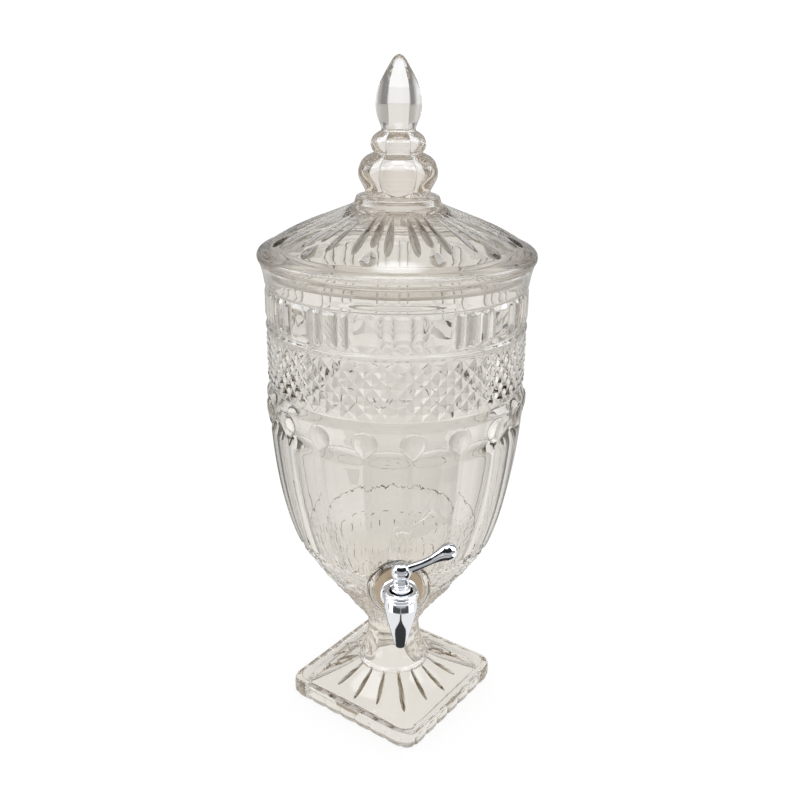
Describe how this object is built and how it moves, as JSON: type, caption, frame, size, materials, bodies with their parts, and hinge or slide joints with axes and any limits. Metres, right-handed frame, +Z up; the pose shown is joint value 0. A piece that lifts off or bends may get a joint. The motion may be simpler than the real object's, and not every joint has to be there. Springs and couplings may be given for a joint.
{
  "type": "glass beverage dispenser",
  "caption": "Footed pressed-glass drink dispenser with a lift-off domed lid and finial, cut-glass bands, and a chromed quarter-turn lever tap low on the bowl.",
  "frame": {"origin": "on the bowl's vertical axis, at the table plane under the foot", "axes": "+Z up along the bowl's axis, the tap looks along -Y, the lever at rest points to +X"},
  "size_m": [0.1924, 0.2069, 0.486],
  "materials": {
    "smoky_glass": "pressed soda-lime glass with a light warm smoke tint, polished",
    "tap_chrome": "bright chrome plating",
    "seal_silicone": "tan food-grade silicone, satin",
    "nut_plastic": "white moulded plastic, satin",
    "ring_rubber": "black rubber",
    "screw_steel": "plain steel"
  },
  "bodies": {
    "vessel": {"bowl": "smoky_glass", "pedestal_foot": "smoky_glass", "tap_body": "tap_chrome", "escutcheon": "tap_chrome", "inlet_shank": "tap_chrome", "outer_gasket": "seal_silicone", "inner_gasket": "seal_silicone", "inner_washer": "tap_chrome", "lock_nut": "nut_plastic", "tap_bonnet": "tap_chrome", "thrust_washer": "nut_plastic"},
    "lid": {"lid": "smoky_glass", "lid_finial": "smoky_glass"},
    "lever": {"lever_handle": "tap_chrome", "valve_plug": "nut_plastic", "plug_o_rings": "ring_rubber", "lever_set_screw": "screw_steel"}
  },
  "joints": [
    {"name": "lid_lift", "type": "slide", "parent": "vessel", "child": "lid", "axis": [0, 0, 1], "range_m": [0, 0.15]},
    {"name": "lever_turn", "type": "hinge", "parent": "vessel", "child": "lever", "pos_m": [0, -0.099, 0.15], "axis": [0, 0, -1], "range_deg": [0, 90]}
  ]
}
